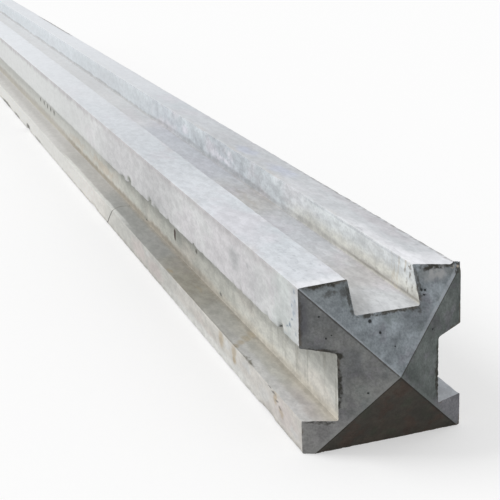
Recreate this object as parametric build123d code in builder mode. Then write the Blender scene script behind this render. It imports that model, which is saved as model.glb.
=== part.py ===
from build123d import *
import os

os.makedirs("parts", exist_ok=True)

# Concrete fence post, cast in one piece, lying on its plain face.
# X runs along the post with the pointed head at +X, Y across it, Z up from the plain face.
# The origin is under the middle of the post, on the plain face.

# The shaft
post_length = 2400.0  # from the flat foot to the point of the head
post_width = 125.0  # across the two slotted sides
post_height = 125.0  # from the plain face to the outer edges of the upper face
arris_radius = 0.8  # the long outer edges and the mouths of the slots
corner_radius = 1.5  # the inner corners along the slot floors

# The slot in the upper face, on the centre line
middle_mouth = 51.0
middle_depth = 22.0
middle_draft = 0.5  # how far each wall leans in, from the mouth to the floor

# The upper face was trowelled by hand, so it rises from its outer edges to the slot's mouth
mouth_rise_left = 1.3  # at -Y
mouth_rise_right = 4.6  # at +Y

# The slots in the two sides, nearer to the plain face than to the upper one
side_lip = 25.0  # the concrete between a side slot and the plain face
side_mouth = 55.5
side_depth = 23.5
side_draft_low = 1.2  # lean of the wall on the plain face's side
side_draft_high = 3.3  # lean of the wall on the upper face's side

# The pointed head, a low four-sided pyramid from a square mould.
# The plain face is struck off short of the mould's rim, by more on one side than the other.
head_height = 32.0
apex_height = 61.0  # of the point, above the plain face
rim_drop_left = 9.0  # at -Y
rim_drop_right = 2.5  # at +Y

# Where the shaft starts and ends along X
foot_x = -post_length / 2
apex_x = post_length / 2
shoulder_x = apex_x - head_height

# The outline of the section without its slots, in Y and Z
half_width = post_width / 2
half_mouth = middle_mouth / 2
mouth_left = (-half_mouth, post_height + mouth_rise_left)
mouth_right = (half_mouth, post_height + mouth_rise_right)
outline = [
    (-half_width, 0),
    (half_width, 0),
    (half_width, post_height),
    mouth_right,
    mouth_left,
    (-half_width, post_height),
]

# The corners of each slot in the section, with the slot's floor in the middle two
half_floor = half_mouth - middle_draft
floor_z = post_height - middle_depth
middle_slot = [
    mouth_left,
    (-half_floor, floor_z),
    (half_floor, floor_z),
    mouth_right,
]
floor_y = half_width - side_depth
side_top = side_lip + side_mouth
right_slot = [
    (half_width, side_lip),
    (floor_y, side_lip + side_draft_low),
    (floor_y, side_top - side_draft_high),
    (half_width, side_top),
]
left_slot = [(-y, z) for y, z in right_slot]


def on_slot_floor(corner):
    """True for a corner of the section that lies on a slot's floor."""
    margin = corner_radius / 2
    return abs(corner.X) < half_width - margin and corner.Y < post_height - margin


with BuildPart() as fence_post:
    # The section stands on the foot: a near square less its three slots
    with BuildSketch(Plane.YZ.offset(foot_x)) as section:
        with BuildLine():
            Polyline(*outline, close=True)
        make_face()
        for slot in (middle_slot, right_slot, left_slot):
            with BuildLine():
                Polyline(*slot, close=True)
            make_face(mode=Mode.SUBTRACT)
        fillet(section.vertices().filter_by(on_slot_floor), corner_radius)
        fillet(section.vertices().filter_by(lambda v: not on_slot_floor(v)), arris_radius)
    extrude(amount=post_length)

    # Each face of the head runs from the point to one side of the mould's rim
    point = Vector(apex_x, 0, apex_height)
    rim = [
        Vector(shoulder_x, -half_width, post_height),
        Vector(shoulder_x, half_width, post_height),
        Vector(shoulder_x, half_width, -rim_drop_right),
        Vector(shoulder_x, -half_width, -rim_drop_left),
    ]
    for corner, next_corner in zip(rim, rim[1:] + rim[:1]):
        outward = (point - corner).cross(next_corner - corner)
        split(bisect_by=Plane(origin=point, z_dir=outward), keep=Keep.BOTTOM)

fence_post.part.label = "fence_post"
export_step(fence_post.part, "parts/fence_post.step")
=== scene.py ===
import random
from math import dist, radians

import bmesh
import bpy
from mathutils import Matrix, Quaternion, Vector, noise


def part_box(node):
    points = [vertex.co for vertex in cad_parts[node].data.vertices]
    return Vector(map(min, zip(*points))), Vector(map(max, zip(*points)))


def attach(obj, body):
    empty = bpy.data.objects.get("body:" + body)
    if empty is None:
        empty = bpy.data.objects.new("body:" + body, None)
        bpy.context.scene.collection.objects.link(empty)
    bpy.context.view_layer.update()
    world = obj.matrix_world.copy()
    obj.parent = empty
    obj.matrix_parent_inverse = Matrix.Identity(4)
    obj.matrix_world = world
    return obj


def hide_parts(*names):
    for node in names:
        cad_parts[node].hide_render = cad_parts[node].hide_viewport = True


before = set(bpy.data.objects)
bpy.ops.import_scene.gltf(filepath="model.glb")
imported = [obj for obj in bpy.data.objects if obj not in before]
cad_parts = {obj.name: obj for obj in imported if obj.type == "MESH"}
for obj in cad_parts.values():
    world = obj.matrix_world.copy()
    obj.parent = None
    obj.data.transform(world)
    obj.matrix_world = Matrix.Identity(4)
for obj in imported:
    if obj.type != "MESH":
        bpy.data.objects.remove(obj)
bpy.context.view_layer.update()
low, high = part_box("fence_post")
print("frame loaded, the post's box is", [round(b - a, 4) for a, b in zip(low, high)])

random.seed(11)
noise.seed_set(7)

# the casting's section and head, in metres
casting = {
    "height": 0.125,  # at the outer edges of the upper face
    "riseLeft": 0.0013,  # how far the trowelled upper face rises to the slot's mouth
    "riseRight": 0.0046,
    "middleMouth": 0.051,
    "middleDepth": 0.022,
    "middleDraft": 0.0005,
    "sideLip": 0.025,
    "sideMouth": 0.0555,
    "sideDepth": 0.0235,
    "draftLow": 0.0012,
    "draftHigh": 0.0033,
    "arris": 0.0008,  # rounding of the outer edges
    "corner": 0.0015,  # rounding inside the slots
    "headHeight": 0.032,
    "apexHeight": 0.061,
    "rimDropLeft": 0.009,
    "rimDropRight": 0.0025,
    "meshStep": 0.0032,  # across the post
    "headStep": 0.008,  # along the head's own edges
    "alongSteps": ((-1.2, 0.0, 0.012), (0.0, 0.6, 0.006), (0.6, 1.0, 0.0035), (1.0, 1.168, 0.0022)),
    "touching": 0.00001,  # places closer than this count as one
}

halfWidth = high.y
topZ = casting["height"]
mouthLeftZ = topZ + casting["riseLeft"]
mouthRightZ = topZ + casting["riseRight"]
halfMouth = casting["middleMouth"] / 2
halfFloor = halfMouth - casting["middleDraft"]
middleFloorZ = topZ - casting["middleDepth"]
slotBackY = halfWidth - casting["sideDepth"]
sideLow = casting["sideLip"]
ledgeZ = sideLow + casting["draftLow"]
sideHigh = sideLow + casting["sideMouth"]
soffitZ = sideHigh - casting["draftHigh"]
shoulderX = high.x - casting["headHeight"]
apex = Vector((high.x, 0, casting["apexHeight"]))
rim = [
    Vector((shoulderX, -halfWidth, topZ)),
    Vector((shoulderX, halfWidth, topZ)),
    Vector((shoulderX, halfWidth, -casting["rimDropRight"])),
    Vector((shoulderX, -halfWidth, -casting["rimDropLeft"])),
]
# the ways that the head's top, right, bottom and left faces look
headFacings = [(apex - a).cross(b - a).normalized() for a, b in zip(rim, rim[1:] + rim[:1])]

# each long arris as its place (y, z) and the way into the concrete
arrises = {}
for name, z, upwards in (("upper", topZ, -1), ("band", sideHigh, 1), ("lip", sideLow, -1), ("foot", 0, 1)):
    arrises[name + "Left"] = (-halfWidth, z, 1, upwards)
    arrises[name + "Right"] = (halfWidth, z, -1, upwards)
arrises["mouthLeft"] = (-halfMouth, mouthLeftZ, -1, -1)
arrises["mouthRight"] = (halfMouth, mouthRightZ, 1, -1)
nooks = [(s * y, z) for s in (-1, 1) for y, z in (
    (slotBackY, ledgeZ), (slotBackY, soffitZ), (halfFloor, middleFloorZ))]

# the section's whole outline, from the foot of the left side up, over and down the right
leftOutline = [(-halfWidth, 0), (-halfWidth, sideLow), (-slotBackY, ledgeZ), (-slotBackY, soffitZ),
               (-halfWidth, sideHigh), (-halfWidth, topZ)]
outline = leftOutline + [(-halfMouth, mouthLeftZ), (-halfFloor, middleFloorZ), (halfFloor, middleFloorZ),
                         (halfMouth, mouthRightZ)] + [(-y, z) for y, z in reversed(leftOutline)]


# small helpers for edit mode
def pick(kind, test):
    bpy.ops.mesh.select_mode(type=kind)
    bpy.ops.mesh.select_all(action="DESELECT")
    mesh = bmesh.from_edit_mesh(bpy.context.object.data)
    for part in {"VERT": mesh.verts, "EDGE": mesh.edges, "FACE": mesh.faces}[kind]:
        if test(part):
            part.select_set(True)
    mesh.select_flush_mode()
    bmesh.update_edit_mesh(bpy.context.object.data)


def cutAll(point, facing, **options):
    bpy.ops.mesh.select_all(action="SELECT")
    bpy.ops.mesh.bisect(plane_co=point, plane_no=facing, threshold=casting["touching"], **options)


def cutSection(start, end, side=0):
    # cuts the flat section along a line, on one side of the post or right across
    if side:
        pick("FACE", lambda f: f.calc_center_median().y * side > 0)
    else:
        bpy.ops.mesh.select_all(action="SELECT")
    along = Vector((0, end[0] - start[0], end[1] - start[1]))
    facing = Vector((1, 0, 0)).cross(along).normalized()
    bpy.ops.mesh.bisect(plane_co=(low.x, *start), plane_no=facing)


def evenCuts(start, end, step, keepOff):
    # evenly spaced places, but none close beside a wall of the section
    count = round((end - start) / step)
    places = [start + (end - start) * i / count for i in range(1, count)]
    return [p for p in places if all(abs(p - wall) > 0.0012 for wall in keepOff)]


def headPlanes(y, z):
    # where the planes of the head's faces cross a line along the post
    return [apex.x - (facing.y * y + facing.z * (z - apex.z)) / facing.x for facing in headFacings]


def planeX(y, z):
    return min(headPlanes(y, z))


def sectionEdge(y, z):
    # how far inside the section's outline a point of the head lies
    gaps = []
    for start, end in zip(outline, outline[1:] + outline[:1]):
        along = Vector(end) - Vector(start)
        offset = Vector((y, z)) - Vector(start)
        share = min(1, max(0, offset.dot(along) / along.length_squared))
        gaps.append((offset - along * share).length)
    return min(gaps)


# the post, drawn as a flat section and drawn out along its length
def drawSection():
    bpy.ops.object.select_all(action="DESELECT")
    bpy.ops.mesh.primitive_plane_add(
        size=1, location=(low.x, 0, mouthRightZ / 2), rotation=(0, radians(90), 0))
    post = bpy.context.object
    post.name = post.data.name = "post_casting"
    post.scale = (mouthRightZ, 2 * halfWidth, 1)
    bpy.ops.object.transform_apply(location=True, rotation=True, scale=True)
    bpy.ops.object.mode_set(mode="EDIT")
    cutSection((0, 0), (0, topZ))
    cutSection((-halfWidth, middleFloorZ), (halfWidth, middleFloorZ))
    for side, mouthZ in ((-1, mouthLeftZ), (1, mouthRightZ)):
        cutSection((side * halfWidth, sideLow), (side * slotBackY, ledgeZ), side)
        cutSection((side * halfWidth, sideHigh), (side * slotBackY, soffitZ), side)
        cutSection((side * slotBackY, 0), (side * slotBackY, topZ), side)
        cutSection((side * halfMouth, mouthZ), (side * halfFloor, middleFloorZ), side)
        cutSection((side * halfWidth, topZ), (side * halfMouth, mouthZ), side)

    def cutAway(face):
        middle = face.calc_center_median()
        y, z = abs(middle.y), middle.z
        inMiddle = z > middleFloorZ and y < halfFloor
        inSide = y > slotBackY and ledgeZ < z < soffitZ
        rise = casting["riseLeft"] if middle.y < 0 else casting["riseRight"]
        over = z > topZ + rise * (halfWidth - y) / (halfWidth - halfMouth)
        return inMiddle or inSide or over

    pick("FACE", cutAway)
    bpy.ops.mesh.delete(type="FACE")
    bpy.ops.mesh.select_all(action="SELECT")
    bpy.ops.mesh.dissolve_limited(angle_limit=radians(0.5))
    return post


def roundCorners():
    def inner(vertex):
        return abs(vertex.co.y) < halfWidth - 0.001 and 0.001 < vertex.co.z < topZ - 0.001

    pick("VERT", inner)
    bpy.ops.mesh.bevel(offset=casting["corner"], affect="VERTICES", segments=2)
    pick("VERT", lambda vertex: not inner(vertex))
    bpy.ops.mesh.bevel(offset=casting["arris"], affect="VERTICES", segments=2)


def makeLong():
    bpy.ops.mesh.select_all(action="SELECT")
    bpy.ops.mesh.extrude_region_move(TRANSFORM_OT_translate={"value": (high.x - low.x, 0, 0)})
    bpy.ops.mesh.select_all(action="SELECT")
    bpy.ops.mesh.normals_make_consistent(inside=False)


def pointHead():
    for facing in headFacings:
        cutAll(apex, facing, use_fill=True, clear_outer=True)


def gridOver():
    wallsY = [s * y for s in (-1, 1) for y in (halfWidth, slotBackY, halfMouth, halfFloor)]
    wallsZ = [0, sideLow, ledgeZ, soffitZ, sideHigh, middleFloorZ, topZ]
    plain = lambda face: face.normal.z > -0.99 or face.calc_center_median().z > 0.01
    for y in evenCuts(-halfWidth, halfWidth, casting["meshStep"], wallsY):
        pick("FACE", plain)
        bpy.ops.mesh.bisect(plane_co=(0, y, 0), plane_no=(0, 1, 0), threshold=casting["touching"])
    for z in evenCuts(0, topZ, casting["meshStep"], wallsZ):
        cutAll((0, 0, z), (0, 0, 1))
    for start, end, step in casting["alongSteps"]:
        cutAll((end, 0, 0), (1, 0, 0))

    def runsAlong(edge, start, end):
        a, b = (v.co for v in edge.verts)
        straight = abs(a.y - b.y) + abs(a.z - b.z) < casting["touching"]
        start -= casting["touching"]
        end += casting["touching"]
        return straight and min(a.x, b.x) > start and max(a.x, b.x) < end

    for start, end, step in casting["alongSteps"] + ((shoulderX, high.x, casting["headStep"]),):
        pick("EDGE", lambda edge: runsAlong(edge, start, end))
        bpy.ops.mesh.subdivide(number_cuts=max(1, round((end - start) / step) - 1))


# air holes of the head, as y, z and half width
pits = (
    (-0.0144, 0.0979, 0.0017), (-0.0085, 0.0900, 0.0012), (0.0285, 0.1126, 0.0013), (0.0312, 0.1118, 0.0011),
    (0.0298, 0.1090, 0.0009), (-0.0423, 0.0910, 0.0007), (-0.0456, 0.0884, 0.0008), (-0.0499, 0.1045, 0.0010),
    (0.0005, 0.0800, 0.0008), (0.0330, 0.0850, 0.0010), (-0.0200, 0.0480, 0.0009))


def refineHead():
    # finer faces along the head's rim and around its air holes
    def worn(face):
        middle = face.calc_center_median()
        if face.normal.x < 0.5:
            return planeX(middle.y, middle.z) - middle.x < 0.004
        nearest = min(dist(middle.yz, pit[:2]) for pit in pits)
        return sectionEdge(middle.y, middle.z) < 0.003 or nearest < 0.004

    pick("FACE", worn)
    bpy.ops.mesh.subdivide(number_cuts=2)


post = drawSection()
roundCorners()
makeLong()
pointHead()
gridOver()
refineHead()
bpy.ops.object.mode_set(mode="OBJECT")
print("post modelled,", sum(len(f.vertices) - 2 for f in post.data.polygons), "triangles")


# wear and casting faults, as (place along the post, length, depth) for each arris
wear = {
    "deepest": 0.006,
    "reach": 0.0065,  # how far a chip spreads from its arris
    "shared": 0.7,  # of its depth goes sideways, and as much up or down
    "headFade": 0.004,  # the long arrises stay whole this close to the head
    "ragged": 0.0006,  # fine unevenness of every arris
    "wave": 0.0007,  # how far the faces swim
    "everyMetre": 9,  # small chance chips on each arris
    "chipLength": (0.005, 0.014),
    "chipDepth": (0.0002, 0.0008),
    "rimReach": 0.003,  # how far the head's rim crumbles
    "crumble": 0.0016,  # and how deep
    "patchy": 0.35,  # how much of it crumbles
    "pitDepth": 0.0014,
    "brokenCorner": 0.007,  # at the top right of the head
    "burrReach": 0.0085,  # a low lump that stands up at the same corner
    "burr": 0.0021,
    "chips": {
        "bandLeft": (
            (0.612, 0.020, 0.0012), (0.645, 0.014, 0.0030), (0.735, 0.014, 0.0026), (0.765, 0.020, 0.0010),
            (0.808, 0.008, 0.0016), (0.897, 0.008, 0.0012), (1.036, 0.008, 0.0010), (1.098, 0.009, 0.0012),
            (1.129, 0.012, 0.0040)),
        "lipLeft": (
            (1.043, 0.034, 0.0022), (1.115, 0.030, 0.0018), (1.140, 0.022, 0.0020), (0.880, 0.030, 0.0012)),
        "footLeft": ((-0.130, 0.030, 0.0025), (0.420, 0.040, 0.0015), (1.090, 0.040, 0.0014)),
        "upperLeft": ((0.560, 0.030, 0.0010), (0.905, 0.024, 0.0010), (1.060, 0.030, 0.0010)),
        "mouthRight": (
            (0.620, 0.050, 0.0016), (0.740, 0.040, 0.0020), (0.860, 0.060, 0.0018), (1.010, 0.030, 0.0012)),
        "mouthLeft": ((0.700, 0.030, 0.0010),),
    },
}


def chipsOf(name):
    listed = list(wear["chips"].get(name, ()))
    for i in range(round(wear["everyMetre"] * (shoulderX - low.x))):
        place = random.uniform(low.x + 0.01, shoulderX - 0.01)
        deep = random.uniform(*wear["chipDepth"]) * (0.5 if place > 0.95 else 1)
        listed.append((place, random.uniform(*wear["chipLength"]), deep))
    return listed


def wearAt(place, chips, away):
    # how deep an arris is worn at one place along it
    fade = max(0, 1 - away / wear["reach"])
    depth = wear["ragged"] * max(0, noise.noise((place * 90, away * 200, 3)) + 0.2)
    for middle, length, deep in chips:
        across = abs(place - middle) / (length / 2)
        if across < 1:
            uneven = 0.85 + 0.3 * noise.noise((place * 400, away * 900, deep))
            depth = max(depth, deep * (1 - across ** 3) * uneven)
    return depth * fade ** 0.7


def crumbleAt(place, away):
    # how far the head's rim has crumbled: in patches, and finely ragged
    patch = noise.noise(place * 30) + wear["patchy"]
    fine = abs(noise.noise(place * 420)) * 1.6 + 0.2
    corner = 1 - (place - rim[1]).length / wear["brokenCorner"]
    return min(1, max(0, patch) * fine + max(0, corner) * 2) * max(0, 1 - away / wear["rimReach"])


def wearPost():
    # weights say how far each vertex gives way, and readings tell the finishes where edges are
    names = ("left", "right", "down", "up", "loose", "crumbled", "pits", "burr")
    groups = {name: post.vertex_groups.new(name=name) for name in names}
    chips = {name: chipsOf(name) for name in arrises}
    readings = {name: [] for name in ("arris", "nook", "rim", "ridge", "broken")}
    ridges = [(Vector((0, corner.y, corner.z)) - Vector((0, 0, apex.z))).normalized() for corner in rim]
    for vertex in post.data.vertices:
        x, y, z = vertex.co
        away, name = min((dist((y, z), a[:2]), n) for n, a in arrises.items())
        fromRim = planeX(y, z) - x
        onHead = fromRim < 0.00002
        depth = wearAt(x, chips[name], away) if away < wear["reach"] and not onHead else 0
        depth *= min(1, max(0, fromRim) / wear["headFade"])
        sideways, upwards = arrises[name][2:]
        for group, way in (("left", -sideways), ("right", sideways), ("down", -upwards), ("up", upwards)):
            if way > 0 and depth > 0:
                groups[group].add([vertex.index], depth / wear["deepest"] * wear["shared"], "REPLACE")
        if z > 0.001 and not onHead and x > low.x + 0.001:
            groups["loose"].add([vertex.index], 1, "REPLACE")
        rimAway = sectionEdge(y, z) if onHead else fromRim
        crumble = crumbleAt(vertex.co, rimAway) if x > low.x + 0.01 else 0
        if crumble > 0:
            groups["crumbled"].add([vertex.index], crumble, "REPLACE")
        hollow = max(1 - dist((y, z), pit[:2]) / (pit[2] * 1.3) for pit in pits)
        if onHead and hollow > 0:
            groups["pits"].add([vertex.index], min(1, hollow * 1.5), "REPLACE")
        lump = 1 - (Vector(vertex.co) - rim[1]).length / wear["burrReach"]
        if lump > 0:
            uneven = 0.8 + 0.5 * noise.noise(vertex.co * 600)
            groups["burr"].add([vertex.index], min(1, lump * 2.6) * uneven, "REPLACE")
        fromApex = Vector((0, y, z - apex.z))
        readings["arris"].append(away)
        readings["nook"].append(min(dist((y, z), nook) for nook in nooks))
        readings["rim"].append(rimAway)
        readings["ridge"].append(min((fromApex - way * max(0, fromApex.dot(way))).length for way in ridges))
        readings["broken"].append(min(1, depth / 0.002))
    for name, values in readings.items():
        post.data.attributes.new(name, "FLOAT", "POINT").data.foreach_set("value", values)


def press(group, direction, strength, texture=None):
    pressing = post.modifiers.new(group, "DISPLACE")
    pressing.vertex_group = group
    pressing.direction = direction
    pressing.strength = strength
    pressing.mid_level = 0
    if texture:
        pressing.texture = texture
        pressing.texture_coords = "LOCAL"
    bpy.ops.object.modifier_apply(modifier=group)


wearPost()
swim = bpy.data.textures.new("swim", "CLOUDS")
swim.noise_scale = 0.11
press("loose", "NORMAL", -wear["wave"], swim)
press("left", "Y", -wear["deepest"])
press("right", "Y", wear["deepest"])
press("down", "Z", -wear["deepest"])
press("up", "Z", wear["deepest"])
press("crumbled", "X", -wear["crumble"])
press("pits", "X", -wear["pitDepth"])
press("burr", "Z", wear["burr"])
bpy.ops.object.shade_smooth_by_angle(angle=radians(35))
print("arrises worn")

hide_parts("fence_post")
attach(post, "root")


def greyOf(value):
    # a shade from 0 to 255, as seen, turned into Blender's linear light
    value /= 255
    return value / 12.92 if value <= 0.04045 else ((value + 0.055) / 1.055) ** 2.4


def colourOf(r, g, b):
    return (greyOf(r), greyOf(g), greyOf(b), 1)


class Wire:
    # a node's output to reckon with: every sum or product adds its Math node
    def __init__(self, finish, socket):
        self.finish = finish
        self.socket = socket

    def other(self, name):
        return Wire(self.finish, self.socket.node.outputs[name])

    def __add__(self, value):
        return self.finish.maths("ADD", self, value)

    def __radd__(self, value):
        return self.finish.maths("ADD", value, self)

    def __sub__(self, value):
        return self.finish.maths("SUBTRACT", self, value)

    def __rsub__(self, value):
        return self.finish.maths("SUBTRACT", value, self)

    def __mul__(self, value):
        return self.finish.maths("MULTIPLY", self, value)

    def __rmul__(self, value):
        return self.finish.maths("MULTIPLY", value, self)

    def __abs__(self):
        return self.finish.maths("ABSOLUTE", self)


class Finish:
    # one material, the nodes that it is made of and the colour mixed so far
    def __init__(self, name, tones=None, upright=None, level=None):
        self.tones = tones
        self.colour = None
        self.upright = upright  # the y of a face that stands up
        self.level = level  # the z of a face that lies level
        self.material = bpy.data.materials.new(name)
        self.material.use_nodes = True
        self.tree = self.material.node_tree
        self.tree.nodes.clear()
        self.here = self.add("TexCoord", out="Object")
        self.x = self.add("SeparateXYZ", inputs={0: self.here})
        self.y = self.x.other("Y")
        self.z = self.x.other("Z")

    def add(self, kind, settings=None, inputs=None, out=0):
        node = self.tree.nodes.new("ShaderNode" + kind)
        for name, value in (settings or {}).items():
            setattr(node, name, value)
        for name, value in (inputs or {}).items():
            if isinstance(value, Wire):
                self.tree.links.new(value.socket, node.inputs[name])
            else:
                node.inputs[name].default_value = value
        return Wire(self, node.outputs[out])

    def maths(self, operation, a, b=0.0):
        return self.add("Math", {"operation": operation}, {0: a, 1: b})

    def most(self, a, b):
        return self.maths("MAXIMUM", a, b)

    def attribute(self, name):
        return self.add("Attribute", {"attribute_name": name}, out="Fac")

    def noise(self, scale, stretch=(1, 1, 1), shift=0.0, detail=3.0, rough=0.6):
        spread = self.add("VectorMath", {"operation": "MULTIPLY"}, {0: self.here, 1: stretch})
        moved = self.add("VectorMath", {"operation": "ADD"}, {0: spread, 1: (shift, shift, shift)})
        settings = {"Vector": moved, "Scale": scale, "Detail": detail, "Roughness": rough}
        return self.add("TexNoise", inputs=settings)

    def drift(self, scale, size):
        # a push to and fro that makes lines and borders ragged
        return (self.noise(scale, rough=0.55) - 0.5) * size

    def along(self, scale, size):
        # the place along the post, made ragged
        return self.x + self.drift(scale, size)

    def band(self, value, start, end, highest=1.0):
        # 0 at the start, 1 at the end, with a soft change between
        limits = {"Value": value, "From Min": start, "From Max": end, "To Max": highest}
        return self.add("MapRange", {"interpolation_type": "SMOOTHSTEP"}, limits)

    def between(self, value, start, end, soft):
        return self.band(value, start - soft, start + soft) * self.band(value, end + soft, end - soft)

    def tint(self, under, over, amount, how="MIX"):
        under, over = (c if isinstance(c, Wire) else colourOf(*c) for c in (under, over))
        mixed = {0: amount, 6: under, 7: over}
        return self.add("Mix", {"data_type": "RGBA", "blend_type": how}, mixed, out=2)

    def speckle(self, colour, value, strength):
        # darker where the value is low and lighter where it is high
        shade = self.band(value, 0.34, 0.66, strength * 2) + (1 - strength)
        return self.tint(colour, shade, 1.0, "MULTIPLY")

    def uneven(self, scale, size):
        # the place on the post, pushed about, so that marks get ragged edges
        push = self.noise(scale).other("Color")
        centred = self.add("VectorMath", {"operation": "SUBTRACT"}, {0: push, 1: (0.5, 0.5, 0.5)})
        scaled = self.add("VectorMath", {"operation": "MULTIPLY"}, {0: centred, 1: (size, size, size)})
        return self.add("VectorMath", {"operation": "ADD"}, {0: self.here, 1: scaled})

    def spot(self, place, middle, size, core):
        off = self.add("VectorMath", {"operation": "SUBTRACT"}, {0: place, 1: middle})
        share = self.add("VectorMath", {"operation": "DIVIDE"}, {0: off, 1: size})
        far = self.add("VectorMath", {"operation": "LENGTH"}, {0: share}, out="Value")
        return self.band(far, 1, core)

    def spots(self, place, listed, core=0.3):
        # each mark is x, y, z, its half size along, across and up, and its strength
        found = 0.0
        for x, y, z, length, width, height, strength in listed:
            mark = self.spot(place, (x, y, z), (length, width, height), core)
            found = self.most(found, mark * strength)
        return found

    def lay(self, tone, amount):
        self.colour = self.tint(self.colour, self.tones[tone], amount)

    def mark(self, tone, place, listed, core=0.3, reach=0.01):
        # marks on one face: each is its place along and across, its half sizes and its strength
        found = []
        for along, across, length, width, strength in listed:
            if self.level is None:
                found.append((along, self.upright, across, length, reach, width, strength))
            else:
                found.append((along, across, self.level, length, width, reach, strength))
        self.lay(tone, self.spots(place, found, core))

    def done(self, height, depth=0.0004):
        bump = self.add("Bump", inputs={"Strength": 0.7, "Distance": depth, "Height": height}, out="Normal")
        skin = {"Base Color": self.colour, "Roughness": 0.9, "Normal": bump, "Specular IOR Level": 0.25}
        self.close(self.add("BsdfPrincipled", inputs=skin))
        return self.material

    def close(self, shader):
        output = self.tree.nodes.new("ShaderNodeOutputMaterial")
        self.tree.links.new(shader.socket, output.inputs["Surface"])


lengthwise = (0.45, 1, 1)  # marks run along the post, as the float did


def castSkin(name, tones, upright=None, level=None):
    # the cement skin that every long face has: big clouds, and paler towards the foot, which is painted light
    finish = Finish(name, tones, upright, level)
    cloud = finish.band(finish.noise(10, lengthwise), 0.38, 0.62)
    tinge = finish.band(finish.noise(24, lengthwise, 4.7), 0.46, 0.64)
    finish.colour = finish.tint(tones["pale"], tones["dark"], cloud)
    finish.lay("tinge", tinge * 0.7)
    # painted light: paler towards the foot end, standing in for the brighter light on the far part of the
    # post
    finish.lay("far", finish.band(finish.along(6, 0.3), 0.65, 0.15) * 0.9)
    return finish


def toneAndPaintedLight(finish, stretches):
    # lighter or darker from stretch to stretch, as (place along the post, level): partly the concrete's own
    # tone, partly painted light
    wavy = finish.along(16, 0.06)
    level = stretches[0][1]
    for (start, before), (end, after) in zip(stretches, stretches[1:]):
        level = finish.band(wavy, start, end, after - before) + level
    finish.colour = finish.tint(finish.colour, level, 1.0, "MULTIPLY")


def weatheredAndPaintedLight(finish, mottled, stretches=()):
    # blotches, mottle and grain over the whole face, after any stretches of tone and painted light, then the
    # finished material
    if stretches:
        toneAndPaintedLight(finish, stretches)
    mottle = finish.noise(170, lengthwise)
    grain = finish.noise(520, (0.7, 1, 1), detail=2, rough=0.5)
    speckled = finish.speckle(finish.colour, finish.noise(50, lengthwise, 6.0), mottled * 0.5)
    speckled = finish.speckle(speckled, mottle, mottled)
    speckled = finish.speckle(speckled, grain, mottled * 0.45)
    finish.colour = finish.tint(finish.colour, speckled, finish.band(finish.x, 0.1, 0.9, 0.65) + 0.35)
    return finish.done(mottle * 0.6 + grain * 0.35)


def dashed(finish, strength):
    # short fine trowel marks, only near the head
    dashes = finish.band(finish.noise(300, (0.35, 1, 1), 2.2, detail=2, rough=0.5), 0.57, 0.72)
    finish.lay("dash", dashes * finish.band(finish.along(20, 0.1), 0.96, 1.10, strength))


# the tones of each face, as shades from 0 to 255
topTones = {
    "pale": (216, 220, 225), "dark": (205, 211, 216), "tinge": (214, 213, 219), "far": (223, 226, 230),
    "right": (206, 208, 211), "dirt": (192, 189, 193), "white": (240, 241, 245), "edge": (196, 190, 184),
    "mark": (150, 148, 146), "dash": (176, 180, 186), "blue": (200, 205, 218),
}


def topFinish():
    finish = castSkin("topSkin", topTones, level=0.127)
    near = finish.band(finish.along(12, 0.1), 0.4, 0.7)
    finish.lay("right", finish.band(finish.y, -0.01, 0.02) * near * 0.7)
    place = finish.uneven(50, 0.02)
    finish.mark("dirt", place, (
        (1.05, 0.053, 0.11, 0.010, 0.6), (0.96, 0.055, 0.07, 0.007, 0.5), (1.07, -0.058, 0.02, 0.004, 0.4)))
    whiter = finish.band(finish.y + finish.drift(40, 0.012), 0.042, 0.032) * finish.band(finish.y, 0, 0.01)
    finish.lay("white", whiter * finish.band(finish.along(20, 0.1), 0.98, 1.08, 0.6))
    finish.mark("blue", place, ((0.845, 0.043, 0.045, 0.014, 0.8), (0.750, 0.040, 0.040, 0.012, 0.8)))
    dashed(finish, 0.4)
    ends = finish.attribute("rim") + finish.drift(90, 0.012)
    wide = finish.band(finish.y, -0.01, 0.01)
    finish.lay("white", finish.band(ends - wide * 0.020, 0.020, 0.002, 0.75))
    arris = finish.attribute("arris") + finish.drift(45, 0.008)
    finish.lay("white", finish.band(arris, 0.004, 0.001, 0.12))
    farEdge = finish.band(finish.y, halfWidth - 0.0065, halfWidth - 0.0025, 0.8)
    finish.lay("mark", farEdge * finish.between(finish.along(30, 0.1), -0.68, -0.34, 0.03))
    broken = finish.band(finish.noise(140, detail=2, rough=0.55), 0.38, 0.60)
    broken = broken * finish.band(finish.x, 0.75, 0.95, 0.8)
    finish.lay("mark", finish.band(finish.y, halfWidth - 0.0050, halfWidth - 0.0015) * broken)
    # chips darker: partly broken concrete, partly painted shade in the nicks
    finish.lay("edge", finish.attribute("broken") * 0.6)
    return weatheredAndPaintedLight(finish, 0.065, ((-0.3, 1.10), (0.3, 1.01), (0.75, 0.95), (0.95, 1.02)))


sideTones = {
    "pale": (241, 242, 242), "dark": (231, 232, 232), "tinge": (236, 233, 236), "far": (250, 252, 251),
    "grey": (218, 218, 219), "under": (213, 210, 211), "green": (224, 232, 229), "blot": (176, 179, 172),
    "patch": (208, 209, 210), "dot": (158, 170, 184), "dash": (88, 89, 80), "blue": (208, 217, 226),
    "white": (247, 247, 243), "worn": (212, 213, 208),
}


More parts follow.
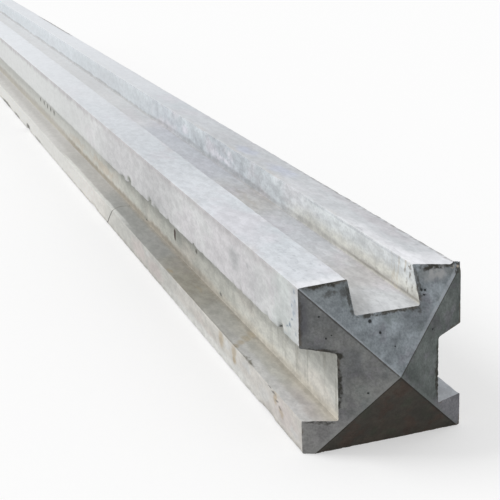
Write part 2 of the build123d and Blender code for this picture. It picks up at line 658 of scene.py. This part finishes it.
def sideFinish():
    finish = castSkin("sideSkin", sideTones, upright=-halfWidth)
    finish.lay("grey", finish.between(finish.along(20, 0.15), 0.52, 0.82, 0.06) * 0.8)
    finish.lay("under", finish.band(finish.z + finish.drift(60, 0.016), topZ - 0.010, topZ - 0.001, 0.8))
    finish.lay("green", finish.between(finish.along(70, 0.06), 1.118, 1.155, 0.016) * 0.6)
    place = finish.uneven(80, 0.012)
    finish.mark("patch", place, (
        (1.021, 0.104, 0.022, 0.013, 0.8), (1.075, 0.100, 0.030, 0.026, 0.35),
        (1.057, 0.108, 0.004, 0.003, 0.9), (0.780, 0.088, 0.040, 0.006, 0.5)))
    finish.mark("blot", place, (
        (0.645, 0.0865, 0.013, 0.0055, 1.0), (0.736, 0.0850, 0.014, 0.0045, 0.7),
        (0.762, 0.0825, 0.018, 0.0030, 0.6), (0.612, 0.0820, 0.016, 0.0028, 0.7)))
    finish.mark("dot", finish.uneven(300, 0.006), (
        (1.159, 0.1200, 0.0028, 0.0024, 0.8), (1.161, 0.1135, 0.0030, 0.0026, 0.8),
        (1.154, 0.1085, 0.0030, 0.0020, 0.8), (1.158, 0.1035, 0.0026, 0.0026, 0.8),
        (1.154, 0.0980, 0.0028, 0.0018, 0.8), (1.149, 0.0925, 0.0042, 0.0024, 1.0),
        (1.144, 0.0895, 0.0034, 0.0014, 0.8), (1.161, 0.0890, 0.0022, 0.0034, 0.5)), 0.1)
    finish.mark("blue", finish.uneven(150, 0.010), ((1.159, 0.108, 0.008, 0.018, 0.5),), 0.2)
    finish.mark("white", place, ((1.136, 0.0855, 0.008, 0.005, 0.8),))
    worn = finish.band(finish.z + finish.drift(50, 0.002), sideHigh + 0.0046, sideHigh + 0.0022)
    finish.lay("worn", worn * finish.band(finish.along(20, 0.1), 0.55, 0.35, 0.8))
    # chips darker: partly broken concrete, partly painted shade in the nicks
    finish.lay("blot", finish.attribute("broken") * 0.7)
    # painted shadow inside the chips along the upper edge of the slot
    finish.mark("dash", finish.uneven(300, 0.002), (
        (1.1270, 0.0822, 0.0042, 0.0026, 1.0), (1.1310, 0.0845, 0.0036, 0.0022, 1.0),
        (0.8970, 0.0812, 0.0030, 0.0024, 0.8), (0.6120, 0.0812, 0.0060, 0.0020, 0.6),
        (0.6450, 0.0842, 0.0060, 0.0048, 0.6), (0.7350, 0.0825, 0.0060, 0.0022, 0.5)), reach=0.02)
    return weatheredAndPaintedLight(finish, 0.075, ((0.0, 1.02), (0.30, 0.98), (0.48, 1.10), (0.66, 1.12), (0.76, 1.00)))


lipTones = {
    "pale": (240, 237, 231), "dark": (229, 227, 220), "tinge": (237, 230, 224), "far": (250, 250, 246),
    "grey": (218, 218, 213), "ochre": (210, 192, 162), "pink": (228, 217, 214), "white": (240, 240, 238),
    "crack": (124, 121, 118), "foot": (190, 186, 178),
}


def lipFinish():
    finish = castSkin("lipSkin", lipTones, upright=-halfWidth)
    finish.lay("grey", finish.between(finish.along(20, 0.15), 0.50, 0.82, 0.06) * 0.8)
    place = finish.uneven(90, 0.016)
    finish.mark("pink", place, (
        (0.67, 0.012, 0.05, 0.016, 0.6), (0.74, 0.010, 0.05, 0.014, 0.6), (1.13, 0.013, 0.04, 0.014, 0.5)))
    finish.mark("white", place, (
        (0.71, 0.018, 0.015, 0.005, 0.6), (1.040, 0.020, 0.016, 0.005, 0.9),
        (0.989, 0.018, 0.010, 0.006, 0.8), (1.085, 0.012, 0.016, 0.008, 0.6),
        (1.150, 0.008, 0.012, 0.006, 0.6)))
    finish.mark("ochre", finish.uneven(90, 0.007), (
        (0.972, 0.018, 0.010, 0.010, 0.6), (1.008, 0.019, 0.009, 0.009, 0.6),
        (1.009, 0.012, 0.006, 0.006, 0.8), (1.110, 0.019, 0.006, 0.007, 0.7),
        (1.123, 0.013, 0.008, 0.005, 0.5)))
    finish.lay("foot", finish.band(finish.z + finish.drift(70, 0.006), 0.004, 0.0005, 0.6))
    along = finish.along(30, 0.08)
    lighter = finish.between(along, -0.16, 0.20, 0.06) * 0.5 + finish.between(along, 0.80, 1.06, 0.05) * 0.9
    finish.lay("far", finish.band(finish.z + finish.drift(60, 0.006), 0.011, 0.006) * lighter)
    finish.mark("crack", finish.uneven(100, 0.006), (
        (-0.125, 0.005, 0.026, 0.007, 1.0), (-0.39, 0.002, 0.080, 0.005, 0.8),
        (-0.26, 0.002, 0.045, 0.0045, 0.7), (-0.02, 0.002, 0.050, 0.0035, 0.5),
        (1.043, 0.0243, 0.016, 0.0020, 0.9), (1.098, 0.0235, 0.006, 0.0010, 0.8),
        (1.106, 0.0215, 0.006, 0.0010, 0.8), (1.114, 0.0185, 0.005, 0.0016, 0.7),
        (1.121, 0.0150, 0.005, 0.0020, 0.6)))
    seam = abs(finish.x - (0.503 + finish.z * 1.3 + finish.z * finish.z * 8)) + finish.drift(150, 0.003)
    finish.lay("crack", finish.band(seam, 0.0027, 0.0010) * finish.band(finish.y, 0, -0.01, 0.9))
    # chips darker: partly broken concrete, partly painted shade in the nicks
    finish.lay("foot", finish.attribute("broken") * 0.6)
    return weatheredAndPaintedLight(finish, 0.07, (
        (-0.3, 1.10), (0.1, 1.05), (0.45, 1.14), (0.66, 1.00), (0.85, 0.90), (0.95, 0.98), (1.1, 0.94)))


backTones = {
    "pale": (226, 226, 219), "dark": (212, 213, 205), "tinge": (223, 219, 211), "far": (230, 231, 226),
    "shade": (178, 180, 174), "tan": (178, 171, 159), "beige": (228, 224, 213), "slit": (84, 66, 62),
    "streak": (180, 179, 170), "mark": (112, 110, 104), "warm": (216, 208, 194),
}


def backFinish():
    finish = castSkin("slotBackSkin", backTones, upright=-slotBackY)
    # painted shadow: the upper back wall darkens under the overhanging upper lip
    wavy = finish.z + finish.drift(26, 0.026)
    upper = finish.band(wavy, 0.040, 0.056) * finish.between(finish.along(16, 0.1), 0.40, 0.80, 0.05)
    finish.lay("shade", upper * 0.7)
    # more painted shadow, stronger towards the head, just under the lip's edge
    nearer = finish.between(finish.along(20, 0.05), 0.81, 0.89, 0.03) * 0.4
    nearer = finish.band(finish.x, 0.7, 0.85, 0.4) + nearer
    finish.lay("shade", finish.band(finish.z + finish.drift(70, 0.010), 0.044, 0.054) * nearer)
    streaks = finish.noise(110, (1, 1, 0.12), 8.1)
    finish.lay("streak", finish.band(streaks, 0.53, 0.66) * finish.band(finish.x, 0.98, 1.12, 0.6))
    low = finish.z + finish.drift(60, 0.008)
    finish.lay("beige", finish.band(low, 0.036, 0.030, 0.6))
    along = finish.along(20, 0.08)
    tanner = finish.band(along, 0.92, 0.84, 0.45) + finish.between(along, 0.16, 0.76, 0.06) * 0.45 + 0.2
    tanner = tanner + finish.between(along, 0.56, 0.72, 0.04) * 0.2
    broad = low - finish.band(finish.x, 0.25, -0.05, 0.006)
    finish.lay("tan", finish.band(broad, 0.0355, 0.0285) * (tanner - finish.band(finish.x, 0.2, 0, 0.15)))
    nook = finish.attribute("nook") + finish.drift(60, 0.003)
    foot = finish.band(nook, 0.0045, 0.0008) * finish.band(finish.z, 0.050, 0.040)
    finish.lay("tan", foot * finish.band(finish.along(20, 0.1), 0.78, 0.90, 0.55))
    finish.mark("warm", finish.uneven(40, 0.03), (
        (0.20, 0.040, 0.10, 0.008, 0.6), (0.38, 0.041, 0.12, 0.009, 0.8)))
    place = finish.uneven(120, 0.007)
    # the first two marks deepen the painted shadow under the lip
    finish.mark("shade", place, (
        (0.755, 0.046, 0.022, 0.014, 0.6), (0.600, 0.042, 0.030, 0.020, 0.4),
        (0.897, 0.031, 0.008, 0.0022, 0.9), (0.612, 0.030, 0.010, 0.0020, 0.9)))
    finish.mark("slit", place, ((0.739, 0.0450, 0.0042, 0.0085, 1.0),), 0.55)
    finish.mark("mark", place, (
        *[(x, 0.0505, 0.0055, 0.0058, 1.0) for x in (-0.118, -0.081, -0.048, -0.018, 0.015)],
        (0.820, 0.0505, 0.0035, 0.0030, 0.9), (0.897, 0.0300, 0.0035, 0.0026, 0.8),
        (0.615, 0.0295, 0.0080, 0.0016, 0.8)))
    return weatheredAndPaintedLight(finish, 0.10, (
        (-0.3, 0.98), (0.2, 1.03), (0.5, 1.08), (0.66, 1.01), (0.80, 0.89), (0.95, 1.00), (1.05, 1.06)))


ledgeTones = {
    "pale": (186, 185, 179), "dark": (172, 171, 165), "tinge": (182, 176, 175), "far": (231, 230, 228),
    "grey": (165, 166, 164), "olive": (161, 157, 145), "tan": (187, 183, 173), "lilac": (198, 198, 198),
    "stain": (170, 158, 136), "corner": (163, 157, 145), "dim": (180, 179, 176), "light": (222, 222, 219),
    "blue": (188, 192, 198), "edge": (124, 122, 113),
}


def ledgeFinish():
    finish = castSkin("ledgeSkin", ledgeTones, level=ledgeZ)
    along = finish.along(18, 0.14)
    finish.lay("grey", finish.between(along, 0.44, 0.76, 0.08) * 0.85)
    finish.lay("olive", finish.between(along, 0.77, 0.89, 0.05) * 0.8)
    finish.lay("dim", finish.between(along, 0.18, 0.46, 0.08) * 0.7)
    near = finish.band(along, 0.94, 1.02)
    inner = abs(finish.y) + finish.drift(45, 0.012)
    finish.lay("dim", finish.band(inner, 0.056, 0.047) * finish.band(along, 0.5, 0.3, 0.35))
    finish.lay("tan", finish.band(inner, 0.050, 0.042) * near * 0.8)
    finish.lay("lilac", finish.band(inner, 0.050, 0.056) * near * 0.7)
    nook = finish.attribute("nook") + finish.drift(60, 0.004)
    cornered = finish.band(finish.along(20, 0.1), 0.35, 0.60, 0.6)
    finish.lay("corner", finish.band(nook, 0.0045, 0.0015) * cornered)
    finish.lay("blue", finish.band(finish.y, -0.01, 0.01))
    place = finish.uneven(120, 0.010)
    finish.mark("stain", place, ((0.792, -0.059, 0.012, 0.003, 0.7), (0.860, -0.048, 0.016, 0.003, 0.4)))
    finish.mark("stain", finish.uneven(120, 0.006), (
        (0.994, -0.0420, 0.013, 0.0050, 0.6), (0.999, -0.0480, 0.010, 0.0050, 0.6),
        (1.005, -0.0545, 0.008, 0.0050, 0.7), (1.009, -0.0605, 0.007, 0.0040, 0.7)))
    outer = finish.band(abs(finish.y) + finish.drift(30, 0.003), 0.0565, 0.0590, 0.85)
    finish.lay("light", outer * finish.between(finish.along(20, 0.06), 0.20, 0.60, 0.05))
    bend = abs(finish.y) - 0.049
    seam = abs(finish.x - (0.530 + bend * bend * 60)) + finish.drift(150, 0.003)
    finish.lay("edge", finish.band(seam, 0.0022, 0.0008) * finish.band(finish.y, 0, -0.01, 0.6))
    finish.mark("edge", place, ((1.043, -0.0606, 0.017, 0.0028, 1.0),))
    lip = finish.between(finish.along(30, 0.05), 0.86, 1.06, 0.02)
    arris = finish.attribute("arris") + finish.drift(120, 0.002)
    finish.lay("edge", finish.band(arris, 0.0022, 0.0008) * lip * 0.35)
    return weatheredAndPaintedLight(finish, 0.09, (
        (0.1, 0.99), (0.3, 1.18), (0.5, 1.12), (0.7, 1.02), (0.88, 0.95), (1.0, 0.98), (1.1, 1.09)))


floorTones = {
    "pale": (204, 206, 208), "dark": (194, 196, 199), "tinge": (204, 200, 205), "far": (244, 245, 246),
    "blue": (194, 197, 203), "brown": (190, 188, 185), "line": (160, 152, 142), "dash": (164, 166, 168),
}


def slotFloorFinish():
    finish = castSkin("slotFloorSkin", floorTones, level=middleFloorZ)
    along = finish.along(16, 0.16)
    finish.lay("blue", finish.between(along, 0.45, 0.76, 0.05) * 0.8)
    finish.lay("brown", finish.between(along, 0.80, 0.90, 0.05) * 0.8)
    finish.lay("blue", finish.between(along, 0.93, 1.02, 0.04) * 0.5)
    place = finish.uneven(90, 0.010)
    finish.mark("line", place, (
        (0.820, 0.0100, 0.034, 0.0035, 0.3), (0.850, 0.0070, 0.034, 0.0035, 0.3)))
    nook = finish.attribute("nook") + finish.drift(50, 0.004)
    finish.lay("line", finish.band(nook, 0.003, 0.001) * 0.2)
    dashed(finish, 0.4)
    finish.lay("brown", finish.between(along, 1.05, 1.14, 0.03) * 0.6)
    return weatheredAndPaintedLight(finish, 0.085, (
        (-0.3, 0.83), (0.1, 0.77), (0.3, 0.84), (0.5, 1.03), (0.75, 1.00), (1.1, 1.07)))


wallTones = {
    "pale": (214, 219, 222), "dark": (203, 208, 212), "tinge": (218, 213, 217), "far": (209, 213, 216),
    "near": (230, 234, 235), "beige": (225, 223, 213), "drip": (192, 196, 201), "white": (234, 232, 237),
    "line": (144, 141, 138), "hole": (122, 113, 102), "stroke": (196, 186, 166),
}


def slotWallFinish():
    finish = castSkin("slotWallSkin", wallTones, upright=halfMouth)
    # painted light: the wall is made paler towards the head, where it would otherwise render darker
    finish.lay("near", finish.band(finish.along(30, 0.1), 0.84, 1.00, 0.85))
    place = finish.uneven(70, 0.016)
    finish.mark("white", place, (
        (0.665, 0.118, 0.028, 0.009, 0.8), (0.735, 0.119, 0.014, 0.007, 0.7),
        (0.560, 0.117, 0.020, 0.008, 0.7), (0.700, 0.112, 0.070, 0.004, 0.8)))
    drips = finish.noise(50, (1, 1, 0.5), 3.4)
    dripping = finish.between(finish.along(14, 0.1), 0.40, 0.88, 0.12) * 0.35 + 0.1
    finish.lay("drip", finish.band(drips, 0.52, 0.64) * dripping)
    low = finish.z + finish.drift(50, 0.010)
    finish.lay("beige", finish.band(low, 0.122, 0.108) * finish.band(finish.along(20, 0.1), 0.88, 0.98, 0.8))
    # a dark line along the foot of the wall: partly painted shade standing in for the rounding of the corner
    # with the slot's floor, partly grey-brown dirt
    farther = finish.band(finish.along(14, 0.1), 0.55, 0.35)
    footZ = finish.z + farther * 0.0025 + finish.drift(13, 0.007) + finish.drift(60, 0.004)
    strong = farther * 0.17 + finish.between(finish.along(20, 0.08), 0.78, 0.98, 0.04) * 0.08 + 0.32
    finish.lay("line", finish.band(footZ, 0.1096, 0.1062) * strong)
    lowerLine = finish.band(abs(finish.z - 0.1052 + finish.drift(30, 0.002)), 0.0014, 0.0003)
    finish.lay("hole", lowerLine * finish.band(finish.along(30, 0.05), 0.98, 1.08, 0.45))
    upperLine = abs(finish.z - mouthRightZ + 0.0022 + finish.drift(30, 0.001))
    upperLine = finish.band(upperLine, 0.0013, 0.0002, 0.45)
    finish.lay("drip", upperLine * finish.between(finish.along(30, 0.05), 0.95, 1.15, 0.02))
    finish.mark("hole", finish.uneven(160, 0.008), (
        (1.152, 0.1225, 0.0016, 0.0030, 0.6), (1.156, 0.1135, 0.0014, 0.0040, 0.5),
        (1.161, 0.1200, 0.0016, 0.0045, 0.8), (1.165, 0.1120, 0.0014, 0.0040, 0.6),
        (1.160, 0.1265, 0.0050, 0.0010, 0.7), (1.158, 0.1070, 0.0014, 0.0030, 0.6)))
    strokes = finish.band(finish.noise(300, (1, 1, 0.25), 5.5, detail=2, rough=0.5), 0.54, 0.68)
    finish.lay("stroke", strokes * finish.band(finish.along(60, 0.02), 1.115, 1.150, 0.5))
    return weatheredAndPaintedLight(finish, 0.11, (
        (-0.3, 1.26), (0.3, 1.15), (0.5, 1.16), (0.66, 1.02), (0.75, 1.05), (0.85, 1.10), (1.0, 1.00)))


# the head's faces, clockwise: two tones of its darker skin, and the mottling's strength; the skin is darker
# than the long faces and steps darker from the top face down to the bottom one, partly as painted shade
headTones = {
    "headTop": ((156, 164, 170), (136, 143, 148), 0.17),
    "headRight": ((121, 127, 125), (105, 111, 109), 0.15),
    "headBottom": ((97, 91, 83), (87, 84, 78), 0.10),
    "headLeft": ((147, 148, 146), (129, 131, 132), 0.14),
}
headMarks = {
    "purple": (140, 135, 145), "green": (126, 136, 133), "rim": (70, 69, 64), "hole": (56, 58, 58),
    "brown": (112, 102, 90), "lilac": (144, 143, 149), "pale": (180, 186, 192), "red": (96, 80, 72),
    "dark": (112, 117, 118), "grey": (160, 159, 158), "violet": (98, 98, 106), "beige": (186, 176, 158),
    "fold": (58, 57, 53), "moss": (84, 88, 77), "worn": (182, 182, 182),
}

# dark ragged bands along the head's rim
rimShades = (
    (1.17, -0.044, 0.1255, 0.05, 0.020, 0.0040, 1.0), (1.17, 0.044, 0.1266, 0.05, 0.020, 0.0028, 1.0),
    (1.17, -0.062, 0.103, 0.05, 0.0022, 0.026, 0.5), (1.18, -0.0390, 0.052, 0.05, 0.0032, 0.028, 1.0),
    (1.18, -0.0387, 0.0755, 0.05, 0.0050, 0.0030, 1.0), (1.17, 0.0590, 0.1215, 0.05, 0.0030, 0.0030, 0.8),
    (1.17, -0.051, 0.0785, 0.05, 0.016, 0.0028, 0.9), (1.175, 0.000, 0.1022, 0.05, 0.027, 0.0014, 0.8),
    (1.175, -0.012, 0.1018, 0.05, 0.015, 0.0014, 0.9), (1.17, 0.021, 0.1012, 0.05, 0.006, 0.0034, 0.8),
    (1.17, 0.0265, 0.116, 0.05, 0.0024, 0.014, 0.7), (1.17, -0.0265, 0.113, 0.05, 0.0022, 0.014, 0.8),
    (1.18, -0.051, 0.0248, 0.05, 0.013, 0.0020, 0.8), (1.18, 0.0385, 0.052, 0.05, 0.0036, 0.028, 1.0),
    (1.17, -0.040, 0.1190, 0.05, 0.008, 0.0030, 0.6), (1.17, -0.030, 0.1185, 0.05, 0.004, 0.0045, 0.6),
    (1.17, 0.0605, 0.1255, 0.05, 0.0025, 0.0020, 0.9))


def headFinish(name):
    pale, dark, mottled = headTones[name]
    # a lighter copy of the face's tone, for the painted highlight along the folds
    foldHighlight = [min(255, v * 1.14) for v in pale]
    finish = Finish(name + "Skin", {**headMarks, "shade": dark, "foldHighlight": foldHighlight})
    finish.colour = finish.tint(pale, dark, finish.band(finish.noise(30), 0.40, 0.60))
    hue = finish.noise(70, shift=9)
    wavyZ = finish.z + finish.drift(50, 0.016)
    if name == "headBottom":
        finish.lay("red", finish.band(hue, 0.52, 0.64, 0.6))
        finish.lay("moss", finish.band(hue, 0.46, 0.34, 0.6))
    else:
        finish.lay("purple", finish.band(hue, 0.53, 0.66, 0.3))
        finish.lay("green", finish.band(hue, 0.46, 0.34, 0.3))
    if name == "headRight":
        finish.lay("lilac", finish.band(wavyZ, 0.034, 0.022, 0.8))
    if name == "headLeft":
        finish.lay("shade", finish.band(wavyZ, 0.080, 0.100, 0.8))
        finish.lay("grey", finish.band(wavyZ, 0.034, 0.022, 0.8))
    if name == "headTop":
        slanting = finish.z - finish.y * 0.5 + finish.drift(50, 0.02)
        finish.lay("dark", finish.band(slanting, 0.120, 0.138, 0.5))
    mottle = finish.noise(150, detail=4, rough=0.7)
    grain = finish.noise(620)
    for value, share in ((finish.noise(52, shift=6), 0.7), (mottle, 0.9), (grain, 0.75)):
        finish.colour = finish.speckle(finish.colour, value, mottled * share)

    # the folds: a painted highlight strip on one side and a painted shade line on the other
    upper = finish.band(finish.z, apex.z - 0.001, apex.z + 0.001)
    lower = finish.band(upper, 1, 0)
    fold = finish.attribute("ridge") + finish.drift(180, 0.0014)
    line = finish.band(fold, 0.0016, 0.0006, 0.65)
    patchy = finish.band(finish.noise(90, shift=2), 0.40, 0.56, 0.5) + 0.35
    if name == "headTop":
        right = finish.band(finish.y, -0.001, 0.001)
        highlightStrip = finish.band(fold - (right * 0.0012 + 0.0010), 0.0007, -0.0007)
        upward = finish.band(finish.z, 0.068, 0.098) * right + finish.band(right, 1, 0)
        # painted highlight along the top face's folds
        finish.lay("pale", highlightStrip * patchy * upward)
    elif name == "headBottom":
        finish.lay("fold", line * lower)
    else:
        finish.lay("foldHighlight", finish.band(fold, 0.0030, 0.0014, 0.55) * lower * patchy)
        finish.lay("rim", line * upper)

    worn = finish.spots(finish.uneven(90, 0.010), ((1.17, 0.0420, 0.1220, 0.05, 0.0190, 0.0066, 0.9),), 0.2)
    finish.lay("worn", worn * (finish.band(finish.noise(150, rough=0.55), 0.42, 0.58, 0.5) + 0.4))
    shadow = finish.spots(finish.uneven(90, 0.008), ((1.17, -0.0605, 0.102, 0.05, 0.0060, 0.028, 0.6),), 0.2)
    finish.lay("violet", shadow)
    outer = finish.attribute("rim") + finish.drift(160, 0.003)
    broken = finish.band(finish.noise(70, shift=7), 0.48, 0.60, 0.7)
    finish.lay("brown", finish.band(outer, 0.0022, 0.0006) * broken)
    place = finish.uneven(220, 0.006)
    patches = finish.band(finish.noise(240, shift=3), 0.36, 0.52, 0.7) + 0.3
    finish.lay("rim", finish.spots(place, rimShades, 0.5) * patches)
    finish.lay("beige", finish.spots(place, (
        (1.168, 0.0600, 0.1235, 0.01, 0.0016, 0.0014, 0.9),
        (1.168, 0.0555, 0.1245, 0.01, 0.0026, 0.0008, 0.6))))
    # the air holes darkened: painted shade inside them
    holes = [(1.18, y, z, 0.05, size, size, 0.95) for y, z, size in pits]
    finish.lay("hole", finish.spots(finish.uneven(400, 0.001), holes, 0.5))
    return finish.done(mottle * 0.6 + grain * 0.6, 0.0005)


plainTones = {
    "pale": (188, 188, 184), "dark": (172, 173, 170), "tinge": (186, 180, 170), "far": (192, 192, 189),
    "hole": (110, 108, 102),
}


def plainFinish():
    finish = castSkin("plainSkin", plainTones)
    cells = finish.add("TexVoronoi", inputs={"Vector": finish.here, "Scale": 60}, out="Distance")
    chosen = finish.add("SeparateXYZ", inputs={0: cells.other("Color")})
    finish.lay("hole", finish.band(cells, 0.14, 0.07) * finish.band(chosen, 0.75, 0.77, 0.7))
    return weatheredAndPaintedLight(finish, 0.12)


def layFinish(material, test):
    post.data.materials.append(material)
    pick("FACE", test)
    post.active_material_index = len(post.data.materials) - 1
    bpy.ops.object.material_slot_assign()


def dressPost():
    bpy.ops.object.mode_set(mode="EDIT")
    middle = lambda f: f.calc_center_median()
    away = lambda f: planeX(middle(f).y, middle(f).z) - middle(f).x
    head = lambda f: f.normal.x > 0.2 and away(f) < 0.0025
    long = lambda f: f.normal.x > -0.5 and not head(f)
    up = lambda f: long(f) and f.normal.z > 0.7
    side = lambda f: long(f) and abs(f.normal.z) <= 0.7
    outer = lambda f: abs(middle(f).y) > halfWidth - 0.006
    layFinish(plainFinish(), lambda f: True)
    layFinish(topFinish(), lambda f: up(f) and middle(f).z > topZ - 0.006)
    layFinish(sideFinish(), lambda f: side(f) and outer(f) and middle(f).z > 0.05)
    layFinish(lipFinish(), lambda f: side(f) and outer(f) and middle(f).z < 0.05)
    layFinish(backFinish(), lambda f: side(f) and 0.03 < abs(middle(f).y) < halfWidth - 0.006)
    layFinish(ledgeFinish(), lambda f: (
        long(f) and not side(f) and abs(middle(f).y) > 0.03 and 0.02 < middle(f).z < 0.1))
    layFinish(slotFloorFinish(), lambda f: (
        up(f) and abs(middle(f).y) < 0.026 and 0.09 < middle(f).z < topZ - 0.01))
    layFinish(slotWallFinish(), lambda f: side(f) and abs(middle(f).y) < 0.03 and middle(f).z > 0.1)
    for i, name in enumerate(headTones):
        planes = lambda f: headPlanes(middle(f).y, middle(f).z)
        layFinish(headFinish(name), lambda f: head(f) and planes(f).index(min(planes(f))) == i)
    bpy.ops.object.mode_set(mode="OBJECT")


dressPost()
print("concrete finished in", len(post.data.materials), "materials")


# light, floor and camera
stagePlan = {
    "floorSize": 90,
    "floorGrey": 155,
    "skyLight": 0.70,
    "skySeen": 0.97,  # by the camera, as pale as the floor
    "sunPower": 1.15,
    "sunWidth": 30,  # degrees across, for soft shadows
    "sunFrom": (-0.42, -0.56, 0.71),
    "cameraPlace": (1.9128, -0.3343, 0.3998),
    "cameraAim": (1.0942, -0.0719, 0.1333),
    "cameraRoll": -2.41,
    "lens": 87.96,
}


def floorPaint():
    # plain grey to the light, and nearly white to the camera and in reflections
    finish = Finish("floorPaint")
    grey = finish.add("BsdfDiffuse", inputs={"Color": colourOf(*[stagePlan["floorGrey"]] * 3)})
    seen = finish.add("BsdfDiffuse", inputs={"Color": (0.55, 0.55, 0.55, 1)})
    glow = finish.add("Emission", inputs={"Strength": 0.45})
    white = finish.add("AddShader", inputs={0: seen, 1: glow})
    rays = finish.add("LightPath", out="Is Camera Ray")
    looked = finish.most(rays, finish.most(rays.other("Is Glossy Ray"), rays.other("Is Transmission Ray")))
    finish.close(finish.add("MixShader", inputs={0: looked, 1: grey, 2: white}))
    return finish.material


def setStage():
    bpy.ops.object.select_all(action="DESELECT")
    bpy.ops.mesh.primitive_plane_add(size=stagePlan["floorSize"], location=(0, 0, -0.0004))
    floor = bpy.context.object
    floor.name = "floor"
    floor.data.materials.append(floorPaint())

    sky = bpy.data.worlds.new("sky")
    bpy.context.scene.world = sky
    sky.use_nodes = True
    backdrop = sky.node_tree.nodes["Background"]
    backdrop.inputs["Color"].default_value = (1, 1, 1, 1)
    looked = sky.node_tree.nodes.new("ShaderNodeLightPath")
    level = sky.node_tree.nodes.new("ShaderNodeMapRange")
    level.inputs["To Min"].default_value = stagePlan["skyLight"]
    level.inputs["To Max"].default_value = stagePlan["skySeen"]
    sky.node_tree.links.new(looked.outputs["Is Camera Ray"], level.inputs["Value"])
    sky.node_tree.links.new(level.outputs[0], backdrop.inputs["Strength"])

    bpy.ops.object.light_add(type="SUN", location=(-1, -2, 3))
    sun = bpy.context.object
    sun.data.energy = stagePlan["sunPower"]
    sun.data.angle = radians(stagePlan["sunWidth"])
    sun.rotation_euler = Vector(stagePlan["sunFrom"]).to_track_quat("Z", "Y").to_euler()

    bpy.ops.object.camera_add(location=stagePlan["cameraPlace"])
    camera = bpy.context.object
    aim = Vector(stagePlan["cameraAim"]) - Vector(stagePlan["cameraPlace"])
    turn = aim.to_track_quat("-Z", "Y") @ Quaternion((0, 0, 1), radians(stagePlan["cameraRoll"]))
    camera.rotation_euler = turn.to_euler()
    camera.data.lens = stagePlan["lens"]
    bpy.context.scene.camera = camera
    bpy.context.scene.view_settings.view_transform = "Standard"


setStage()
print("stage set")
